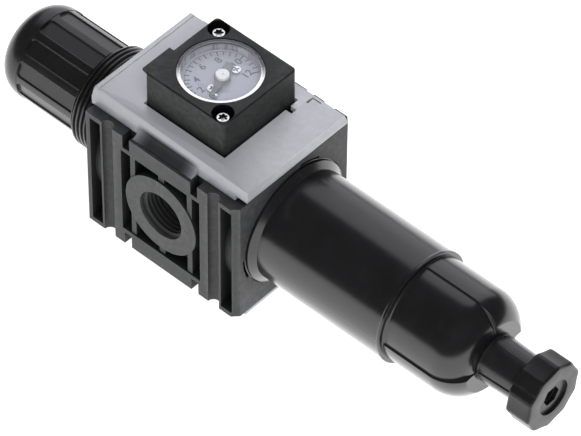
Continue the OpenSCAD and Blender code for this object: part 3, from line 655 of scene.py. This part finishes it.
def build_bonnet():
    outside = rounded([
        (18.9, 29, 0), (23.97, 29, 0.3), (23.97, 37.22, 0), (26.2, 37.25, 0.2),
        (26.2, 40.7, 0.5), (22.0, 44.0, 0.4), (BONNET_R - 1.0, 44.9, 0)], 4)
    thread = [np.array([BONNET_R, z]) for z in np.arange(45.0, 57.05, 0.125)]
    top_and_inside = rounded([
        (19.6, 57.0, 0), (17.3, 57.0, 0.3), (17.3, 86, 0.5), (4.75, 86, 0.2), (4.75, 82, 0),
        (15, 82, 0.4), (15, 34.2, 0.2), (18.9, 34, 0), (18.9, 29, 0)], 4)
    thread_rows = range(len(outside), len(outside) + len(thread))

    def cut_thread(row, r, z, angle):
        if row not in thread_rows:
            return r, z
        phase = ((z - BONNET_PITCH * angle / 360.0) / BONNET_PITCH) % 1.0
        off_middle = abs(phase - 0.5) * 2
        groove = BONNET_THREAD_DEPTH * (1 - smooth_step((off_middle - 0.12) / 0.62))
        upper_taper = max(0.0, z - 55.2) * 0.75
        lower_taper = max(0.0, 46.2 - z) * 0.8
        return max(19.5, BONNET_R - groove - upper_taper - lower_taper), z

    verts, faces = revolve(outside + thread + top_and_inside[:-1], even_angles(180),
                           cut_thread, closed=True)
    add_part("bonnet_threaded", verts, faces, "bonnet_plastic", sharp=40, replaced="bonnet")


# ---------------------------------------------------------------- bowl

BOWL_R, LOW_R = 23.23, 21.75          # upper and lower part of the wall
DOME_Z, DOME_R, DOME_END = -122.0, 14.0, -134.0
FLAT_R = 10.2                         # inner edge of the flat bottom
SUNK_CENTRES, SUNK_HALF = (-135, 45), 48
SUNK_R, SUNK_DOME_R = LOW_R - 0.75, 12.1
LINE_ANGLE, LINE_DEPTH = 178.1, 0.09  # shallow upright groove
EDGE_OFFSETS = (-1.6, -1.1, -0.7, -0.35, 0, 0.35, 0.7, 1.1, 1.6)


def bowl_angles():
    """Even steps, with close ones at the edges of the sunken panels."""
    close = [centre + side * SUNK_HALF + offset
             for centre in SUNK_CENTRES for side in (-1, 1) for offset in EDGE_OFFSETS]
    coarse = [round(x, 3) for x in np.arange(0, 360, 2.5)
              if all(angle_gap(x, y) > 0.6 for y in close)]
    return sorted({round(x % 360, 3) for x in close} | set(coarse))


def build_bowl():
    """Tube with a domed end, two sunken panels in its lower part and three lugs at the top."""
    upper = rounded([
        (21.4, -24, 0.3), (26.22, -24, 0.3), (26.22, -25.3, 0), (23.75, -25.3, 0),
        (23.75, -28, 0), (26.22, -28, 0), (26.22, -37.1, 0), (25.85, -37.2, 0),
        (25.85, -38.3, 0.25), (BOWL_R, -40.25, 0.5), (BOWL_R, -98.3, 0.4),
        (BOWL_R + 0.28, -98.7, 0.15), (BOWL_R + 0.28, -99.8, 0.25), (BOWL_R - 0.5, -99.95, 0),
        (LOW_R + 0.1, -99.95, 0)], 4)[1:]
    wall_heights = [-100.1, -100.35, -100.6, -100.9, -101.4, -103,
                    *np.arange(-106, DOME_Z + 0.5, -2.0), DOME_Z]
    wall = [np.array([LOW_R, z]) for z in wall_heights]
    dome_sweep = math.asin((DOME_END - DOME_Z) / DOME_R)
    dome_centre = LOW_R - DOME_R
    dome = [np.array(p[:2]) for p in
            arc(dome_centre, DOME_Z, DOME_R, -1.5, math.degrees(dome_sweep), 26)]
    flat = [np.array([r, DOME_END]) for r in (14.6, 13.6, 12.4, 11.2, FLAT_R)]
    hole = rounded([(FLAT_R, DOME_END, 0), (6.0, DOME_END, 0), (6.0, -130, 0),
                    (12.0, -130, 0)], 3)[1:]
    inner_dome = [np.array(p[:2]) for p in arc(7.5, -119, 11.9, -67, 0, 14)]
    inner_wall = rounded([(19.4, -119, 0), (19.4, -98, 0.5), (21.4, -96, 0.5),
                          (21.4, -24, 0)], 3)[1:]
    flat_start = len(upper) + len(wall) + len(dome)
    lower_rows = range(len(upper), flat_start + len(flat))
    sunk_centre = SUNK_R - SUNK_DOME_R

    def sunk_profile(row, r, z):
        """The smaller tube with a rounder end that the panels follow."""
        if z >= DOME_Z:
            return SUNK_R, z
        if row < flat_start:
            share = math.atan2(z - DOME_Z, r - dome_centre) / dome_sweep
            a = share * math.radians(-86)
            return (sunk_centre + SUNK_DOME_R * math.cos(a),
                    DOME_Z + 0.3 + SUNK_DOME_R * math.sin(a))
        share = (r - FLAT_R) / (14.8 - FLAT_R)
        return FLAT_R * (1 - share) + (sunk_centre + 1.0) * share, -133.8

    def shape(row, r, z, angle):
        if abs(r - BOWL_R) < 0.02 and -98.4 < z < -41:
            return r - LINE_DEPTH * max(0.0, 1 - angle_gap(angle, LINE_ANGLE) / 0.45), z
        if row not in lower_rows:
            return r, z
        off_panel = min(angle_gap(angle, centre) for centre in SUNK_CENTRES)
        weight = smooth_step(0.5 + (SUNK_HALF - off_panel) / 1.6) * smooth_step((-100.2 - z) / 0.6)
        sunk_r, sunk_z = sunk_profile(row, r, z)
        return r + (sunk_r - r) * weight, z + (sunk_z - z) * weight

    rows = upper + wall + dome + flat + hole + inner_dome + inner_wall
    parts = [revolve(rows, bowl_angles(), shape, closed=True)]
    for i in range(3):
        middle = 248 + 120 * i
        parts.append(ring_segment(24.5, 27.3, -33, -30, middle - 9.5, middle + 9.5))
    verts, faces = merge(parts)
    add_part("bowl_shell", verts, faces, "bowl_plastic", sharp=34, body="bowl", replaced="bowl")


# ---------------------------------------------------------------- drain

STUB_OFFSETS = [-45, -38, -31, -24, -17, -12, -8.5, -7, -6, -5.4, -4.8, -4.2, -3, 0,
                3, 4.2, 4.8, 5.4, 6, 7, 8.5, 12, 17, 24, 31, 38]


def build_drain_body():
    """Tapered stub with four upright ribs, below the bowl."""
    seat = DOME_END - 0.02
    upper = rounded([(5.97, -125, 0), (5.97, seat, 0), (9.9, seat, 0), (9.9, -135, 0.1),
                     (9.7, -135.05, 0), (9.7, -135.4, 0)], 3)
    taper = [np.array([9.7 - 0.6 * (-135.4 - z) / 15.6, z])
             for z in np.arange(-135.6, -150.9, -0.9)]
    lower = rounded([
        (9.1, -150.95, 0), (9.1, -151.05, 0.1), (6.0, -151.05, 0), (6.0, -155.3, 0),
        (5.3, -155.4, 0), (5.3, -156.6, 0), (6.0, -156.7, 0), (6.0, -158, 0.2),
        (4.55, -158, 0), (4.55, -133, 0), (1.3, -133, 0), (1.3, -125, 0)], 3)
    ribbed_rows = range(len(upper) - 1, len(upper) + len(taper) + 2)

    def raise_ribs(row, r, z, angle):
        if row not in ribbed_rows or z < -151:
            return r, z
        off_rib = math.radians(abs((angle + 45) % 90 - 45)) * 9.4
        return r + 0.55 * (1 - smooth_step((off_rib - 0.75) / 0.35)), z

    angles = [90 * i + offset for i in range(4) for offset in STUB_OFFSETS]
    verts, faces = revolve(upper + taper + lower, angles, raise_ribs, closed=True)
    add_part("drain_stub", verts, faces, "drain_plastic", sharp=36, body="bowl",
             replaced="drain_body")


GRIP_R, GRIP_LOW, GRIP_TOP = 14.2, -162.0, -151.2
GRIP_FLAT = 13.743                    # from the axis to the middle of a flat
HEX_CORNER, HEX_FLAT = 4.157, 3.6     # hexagonal hole: radius at the corners and at the flats


def build_drain_knob():
    """Ten-sided hand knob with a hexagonal hole."""
    recess = GRIP_LOW + 1.2
    outline = rounded([
        (6.9, GRIP_TOP, 0), (GRIP_R, GRIP_TOP, 1.2), (GRIP_R, GRIP_LOW, 1.1),
        (7.4, GRIP_LOW, 0.25), (7.4, recess, 0.15), (HEX_CORNER, recess, 0.12),
        (HEX_CORNER, -158.05, 0), (6.06, -158.05, 0), (6.06, -156.6, 0), (6.9, -156.6, 0),
        (6.9, -155.4, 0), (6.06, -155.4, 0), (6.06, GRIP_TOP, 0)], 6)
    outline = subdivided(outline, z_low=-161, z_high=-152, step=1.5)

    def shape(row, r, z, angle):
        if r > 9:
            off_flat = abs((angle + 10) % 36 - 18)
            side = GRIP_FLAT / math.cos(math.radians(off_flat)) \
                - 0.16 * math.cos(math.radians(off_flat * 5))
            return r - max(0.0, GRIP_R - side) * smooth_step((r - 9) / 4.6), z
        if abs(r - HEX_CORNER) < 0.3 and z < -157.9:
            return r * (HEX_FLAT / math.cos(math.radians(angle % 60 - 30)) / HEX_CORNER), z
        return r, z

    verts, faces = revolve(outline[:-1], even_angles(360), shape, closed=True)
    add_part("drain_hand_knob", verts, faces, "drain_plastic", sharp=36, body="drain_knob",
             replaced="drain_knob", materials=["drain_grip"])


# ---------------------------------------------------------------- springs

def build_springs():
    """Main spring and valve spring, as coils of wire with closed end turns."""
    verts, faces = coil(radius=11.5, wire=1.5, z_low=30.6, z_high=73.0, turns=6)
    main = add_part("main_spring_wire", verts, faces, "spring_steel", sharp=50,
                    body="diaphragm_plates", replaced="main_spring")
    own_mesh(main)
    verts, faces = coil(radius=4.7, wire=0.55, z_low=-21.0, z_high=-12.6, turns=4)
    valve = add_part("valve_spring_wire", verts, faces, "spring_steel", sharp=50,
                     replaced="valve_spring")
    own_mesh(valve)


# ---------------------------------------------------------------- body with threaded ports

PORT_R, PORT_FACE = 9.315, 30.1       # plain bore, and |x| of the port's face
PORT_MOUTH_R = 10.5
PORT_PITCH, PORT_THREAD_DEPTH = 1.814, 1.05   # G1/2 thread
PORT_STEPS = 96                       # vertices round a port


def is_port_face(face):
    """True for the plain bore of a port and the ring round its mouth."""
    radii = [math.hypot(v.co.y, v.co.z) / MM for v in face.verts]
    xs = [abs(v.co.x) / MM for v in face.verts]
    bore = all(abs(r - PORT_R) < 0.02 for r in radii) and min(xs) > 16.0 and max(xs) < 30.15
    mouth = (all(r < 10.52 for r in radii) and all(abs(x - PORT_FACE) < 0.02 for x in xs)
             and max(radii) > 9.2)
    return bore or mouth


def build_body():
    """The CAD body with its port bores cut out, to make room for the threads."""
    mesh = NODES["body"].data.copy()
    mesh.name = "body_moulding"
    bm = bmesh.new()
    bm.from_mesh(mesh)
    bmesh.ops.remove_doubles(bm, verts=bm.verts, dist=1e-6)
    bmesh.ops.delete(bm, geom=[f for f in bm.faces if is_port_face(f)], context="FACES")
    bm.to_mesh(mesh)
    bm.free()
    if "custom_normal" in mesh.attributes:
        mesh.attributes.remove(mesh.attributes["custom_normal"])
    for polygon in mesh.polygons:
        polygon.use_smooth = True
    mesh.set_sharp_from_angle(angle=math.radians(28))
    mesh.materials.clear()
    mesh.materials.append(MAT["body_plastic"])
    ob = link_object("body_moulding", mesh)
    # large flat faces keep their own normal, the small fillet facets beside them bend
    normals = ob.modifiers.new("normals", "WEIGHTED_NORMAL")
    normals.mode = "FACE_AREA"
    normals.weight = 60
    normals.keep_sharp = True
    assign(ob, "housing", "body")


def port_thread_radius(x, step):
    phase = ((x + PORT_PITCH * step / PORT_STEPS) / PORT_PITCH) % 1.0
    off_middle = abs(phase - 0.5) * 2
    r = PORT_R + PORT_THREAD_DEPTH * (1 - smooth_step((off_middle - 0.08) / 0.84))
    r += max(0.0, x - 29.0) * 0.8                                 # lead-in
    r -= max(0.0, r - 9.33) * smooth_step((18.4 - x) / 2.0)       # run-out
    return min(r, 10.44)


def build_port_threads():
    stations = [PORT_FACE, PORT_FACE, 29.9, 29.6, *np.arange(29.45, 16.3, -0.15), 16.1]
    plain_radii = {0: PORT_MOUTH_R, 1: 10.3, len(stations) - 1: PORT_R}
    for side, name in ((-1, "inlet_thread"), (1, "outlet_thread")):
        verts, faces = [], []
        for i, x in enumerate(stations):
            for j in range(PORT_STEPS):
                a = 2 * math.pi * j / PORT_STEPS
                r = plain_radii[i] if i in plain_radii else port_thread_radius(x, j)
                verts.append((side * x * MM, r * math.cos(a) * MM, r * math.sin(a) * MM))
        for i in range(len(stations) - 1):
            outer, inner = i * PORT_STEPS, (i + 1) * PORT_STEPS
            for j in range(PORT_STEPS):
                k = (j + 1) % PORT_STEPS
                face = (outer + j, outer + k, inner + k, inner + j)
                faces.append(face if side < 0 else face[::-1])
        add_part(name, verts, faces, "body_plastic", sharp=50, tidy=False)


# ---------------------------------------------------------------- gauge

PIVOT_X, PIVOT_Z = 0.30, -1.75        # pivot of the pointer
DIAL_Y = GAUGE_FRONT + 4.75           # face of the dial
RIM_R = 14.65                         # beyond this the window is rim


def scale_angle(bar):
    """Angle of a pressure on the scale, clockwise from straight up; closer together below 4."""
    return -45.6 + (21.0 if bar >= 4 else 16.35) * (bar - 4)


def build_lens():
    # (r, height in front of the lens's back, corner radius)
    profile = rounded([
        (0, 1.50, 0), (10.8, 1.42, 0), (11.0, 1.34, 0.05), (11.3, 1.34, 0.05),
        (11.5, 1.40, 0.05), (14.2, 1.32, 0.3), (14.6, 1.15, 0.1), (15.4, 1.15, 0.1),
        (15.6, 1.5, 0.2), (16.15, 1.5, 0.35), (16.15, 0.0, 0.1), (14.6, 0.0, 0.05),
        (14.6, 0.5, 0.1), (0, 0.5, 0)], 5)
    verts, faces = revolve(profile, even_angles(144))
    verts = face_front(verts, GAUGE_X, GAUGE_FRONT + 1.8, GAUGE_Z)
    face_materials = []
    for face in faces:
        x, _, z = np.mean([verts[i] for i in face], 0)
        r = math.hypot(x - GAUGE_X * MM, z - GAUGE_Z * MM) / MM
        face_materials.append(1 if r > RIM_R else 0)
    add_part("gauge_window", verts, faces, "lens_clear", sharp=30, replaced="gauge_lens",
             materials=["lens_clear", "lens_rim"], face_materials=face_materials, weld=None)


def build_lens_skirt():
    """Clear skirt behind the window, stepped in at four short tabs."""
    verts, faces, face_materials = [], [], []
    y_front, y_rear, r_out = GAUGE_FRONT + 1.86, GAUGE_FRONT + 4.66, 15.24
    for start in range(0, 360, 2):
        tab = min(angle_gap(start + 1, middle) for middle in (10, 100, 190, 280)) < 9
        r_in = 14.72 if tab else 14.98
        base = len(verts)
        for angle in (start, start + 2):
            a = math.radians(angle)
            for r, y in ((r_in, y_front), (r_out, y_front), (r_out, y_rear), (r_in, y_rear)):
                verts.append(((GAUGE_X + r * math.cos(a)) * MM, y * MM,
                              (GAUGE_Z + r * math.sin(a)) * MM))
        for j in range(4):
            k = (j + 1) % 4
            faces.append((base + j, base + k, base + 4 + k, base + 4 + j))
        faces.append((base, base + 3, base + 2, base + 1))
        faces.append((base + 4, base + 5, base + 6, base + 7))
        face_materials += [1 if tab else 0] * 6
    # the end faces inside the ring meet in pairs and go
    add_part("lens_skirt", verts, faces, "lens_clear", sharp=30, materials=["skirt", "skirt_tab"],
             face_materials=face_materials, weld=1e-7, drop_twins=True)


INK_BACK, INK_FRONT = DIAL_Y + 0.02, DIAL_Y - 0.05


def tick(angle, r_in, r_out, width):
    a = math.radians(angle)
    outward = Vector((math.sin(a), 0, math.cos(a)))
    across = Vector((math.cos(a), 0, -math.sin(a)))
    pivot = Vector((PIVOT_X, 0, PIVOT_Z))
    verts = []
    for y in (INK_BACK, INK_FRONT):
        for r, side in ((r_in, -1), (r_out, -1), (r_out, 1), (r_in, 1)):
            p = pivot + outward * r + across * (side * width / 2)
            verts.append((p.x * MM, y * MM, p.z * MM))
    return verts, [(0, 1, 2, 3), (4, 7, 6, 5), (0, 4, 5, 1), (1, 5, 6, 2), (2, 6, 7, 3),
                   (3, 7, 4, 0)]


def scale_arc(count=180, r_in=13.75, r_out=13.95):
    """Thin arc joining the ticks."""
    verts = []
    for i in range(count + 1):
        a = math.radians(scale_angle(12 * i / count))
        for y, r in ((INK_BACK, r_in), (INK_BACK, r_out), (INK_FRONT, r_out), (INK_FRONT, r_in)):
            verts.append(((PIVOT_X + r * math.sin(a)) * MM, y * MM,
                          (PIVOT_Z + r * math.cos(a)) * MM))
    faces = tube_faces(count, 4)
    faces[-1] = faces[-1][::-1]
    return verts, faces


def numeral(value, radius=9.4):
    a = math.radians(scale_angle(value))
    curve = bpy.data.curves.new("numeral", "FONT")
    curve.body = str(value)
    curve.size = 4.3 * MM
    curve.offset = 0.07 * MM
    curve.align_x = "CENTER"
    curve.align_y = "CENTER"
    curve.extrude = 0.03 * MM
    curve.resolution_u = 4
    text = link_object("numeral", curve)
    bpy.context.view_layer.update()
    depsgraph = bpy.context.evaluated_depsgraph_get()
    mesh = bpy.data.meshes.new_from_object(text.evaluated_get(depsgraph))
    x0, z0 = (PIVOT_X + radius * math.sin(a)) * MM, (PIVOT_Z + radius * math.cos(a)) * MM
    verts = [(v.co.x + x0, (DIAL_Y - 0.02) * MM - v.co.z, v.co.y + z0) for v in mesh.vertices]
    faces = [tuple(p.vertices) for p in mesh.polygons]
    bpy.data.objects.remove(text)
    bpy.data.curves.remove(curve)
    bpy.data.meshes.remove(mesh)
    return verts, faces


def build_dial_marks():
    """Scale from 0 to 12: ticks every half bar, an arc and plain numerals."""
    parts = []
    for i in range(25):
        r_in, width = (12.1, 0.42) if i % 2 else (11.7, 0.5)
        parts.append(tick(scale_angle(i / 2), r_in, 13.8, width))
    parts.append(scale_arc())
    parts += [numeral(value) for value in range(0, 13, 2)]
    verts, faces = merge(parts)
    add_part("dial_scale", verts, faces, "dial_print", sharp=30, materials=["dial_ink"])


def build_gauge_screws():
    """Two pan heads with a six-lobe recess, at opposite corners of the gauge."""
    shank_end = -29.2 + 7.5
    length = shank_end - (GAUGE_FRONT + 2.1)
    # (r, height in front of the end of the shank, corner radius)
    profile = rounded([
        (0, length - 1.3, 0), (1.9, length - 1.3, 0), (1.9, length - 0.12, 0.05),
        (2.35, length - 0.1, 0.35), (2.75, length - 0.75, 0.4), (2.75, length - 2.0, 0.1),
        (1.5, length - 2.0, 0.05), (1.5, 0.4, 0.2), (1.1, 0, 0), (0, 0, 0)], 4)

    def lobes(row, r, z, angle):
        if r < 2.0 and z > length - 1.35:
            return r * (0.80 + 0.17 * math.cos(math.radians(6 * angle))), z
        return r, z

    parts = []
    for offset, turn in ((-15, 35), (15, 12)):
        verts, faces = revolve(profile, even_angles(72), lobes, turn=turn)
        parts.append((face_front(verts, GAUGE_X + offset, shank_end, GAUGE_Z + offset), faces))
    verts, faces = merge(parts)
    add_part("gauge_pan_screws", verts, faces, "zinc_steel", sharp=35, replaced="gauge_screws")


build_knob()
build_bonnet()
build_bowl()
build_drain_body()
build_drain_knob()
build_springs()
build_body()
build_port_threads()
build_lens()
build_lens_skirt()
build_dial_marks()
build_gauge_screws()

# the CAD pieces take their materials
SLOTS = {part["node"]: part["material_slot"] for part in frame["record"]["subparts"]}
for name, ob in NODES.items():
    ob.data.materials.clear()
    ob.data.materials.append(MAT[SLOTS[name]])


# ---------------------------------------------------------------- floor, world, lights, camera

FLOOR_Y, FLOOR_HALF = 0.0342, 3.0
LIGHT_AIM = Vector((0, 0, -0.03))

scene = bpy.context.scene
scene.view_settings.view_transform = "Standard"
scene.view_settings.look = "None"
scene.view_settings.exposure = 0.0
scene.view_settings.gamma = 1.0


def build_floor():
    """Pale glowing plane, brighter in reflections and unseen from behind."""
    mesh = bpy.data.meshes.new("floor")
    corners = ((-1, -1), (1, -1), (1, 1), (-1, 1))
    mesh.from_pydata([(x * FLOOR_HALF, FLOOR_Y, z * FLOOR_HALF) for x, z in corners],
                     [], [(0, 1, 2, 3)])
    floor = link_object("floor", mesh)
    t = MaterialNodes("pale_floor")
    diffuse = t.node("BsdfDiffuse", {0: t.ramp(t.noise(3), (0.3, 0.93), (0.7, 0.95))})
    reflected = t.node("LightPath").outputs["Is Glossy Ray"]
    glow = t.node("Emission", {0: (1, 1, 1), 1: t.math("ADD", t.times(reflected, 0.75), 0.80)})
    front = t.node("AddShader", {0: diffuse.outputs[0], 1: glow.outputs[0]})
    back = t.node("BsdfTransparent")
    facing_away = t.node("NewGeometry").outputs["Backfacing"]
    t.put(t.output.inputs[0], t.mix_shader(facing_away, front.outputs[0], back.outputs[0]))
    mesh.materials.append(t.material)
    floor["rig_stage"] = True


def build_world():
    """White to the camera, dim for lighting."""
    world = bpy.data.worlds.new("studio")
    scene.world = world
    world.use_nodes = True
    t = Nodes(world.node_tree)
    lighting = t.tree.nodes["Background"]
    t.put(lighting.inputs[0], (1, 1, 1))
    t.put(lighting.inputs[1], 0.12)
    seen = t.node("Background", {0: (1, 1, 1), 1: 1.0})
    to_camera = t.node("LightPath").outputs["Is Camera Ray"]
    mixed = t.node("MixShader", {0: to_camera, 1: lighting.outputs[0], 2: seen.outputs[0]})
    t.put(t.tree.nodes["World Output"].inputs[0], mixed.outputs[0])


def softbox(name, direction, distance, width, height, power, colour):
    """Rectangular lamp that looks back along its direction at the aim point."""
    lamp = bpy.data.lights.new(name, "AREA")
    lamp.shape = "RECTANGLE"
    lamp.size, lamp.size_y = width, height
    lamp.energy = power
    lamp.color = colour
    ob = link_object(name, lamp)
    toward = Vector(direction).normalized()
    ob.location = LIGHT_AIM + toward * distance
    ob.rotation_mode = "QUATERNION"
    ob.rotation_quaternion = (-toward).to_track_quat("-Z", "Y")
    ob["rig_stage"] = True
    return ob


def build_lights():
    """Two pairs of lamps; in each, one lamp's effect on diffuse or glossy light is left out."""
    above = (0.69, -0.57, 0.447)
    front = (-0.46, -0.76, -0.46)
    softbox("top", above, distance=1.0, width=1.2, height=1.0, power=4.6,
            colour=(0.95, 0.95, 1.0))
    sheen = softbox("sheen", above, distance=1.0, width=0.55, height=0.6, power=8.0,
                    colour=(0.86, 0.86, 1.0))
    sheen.visible_diffuse = False
    fill = softbox("front", front, distance=1.2, width=0.9, height=0.9, power=12.5,
                   colour=(1.0, 0.995, 0.985))
    fill.visible_glossy = False
    glint = softbox("front_sheen", front, distance=1.2, width=0.9, height=0.9, power=4.0,
                    colour=(1.0, 1.0, 1.0))
    glint.visible_diffuse = False


def build_camera():
    right = (0.67363, -0.00724, -0.73903)
    up = (0.54606, -0.66896, 0.50429)
    backward = (-0.49804, -0.74326, -0.44668)
    camera = bpy.data.cameras.new("camera")
    camera.sensor_fit = "HORIZONTAL"
    camera.sensor_width = 36.0
    camera.lens = 280.83
    camera.clip_start = 0.05
    camera.clip_end = 20.0
    ob = link_object("camera", camera)
    placement = Matrix((right, up, backward)).transposed().to_4x4()
    placement.translation = (-0.82744, -1.23485, -0.77792)
    ob.matrix_world = placement
    scene.camera = ob


build_floor()
build_world()
build_lights()
build_camera()
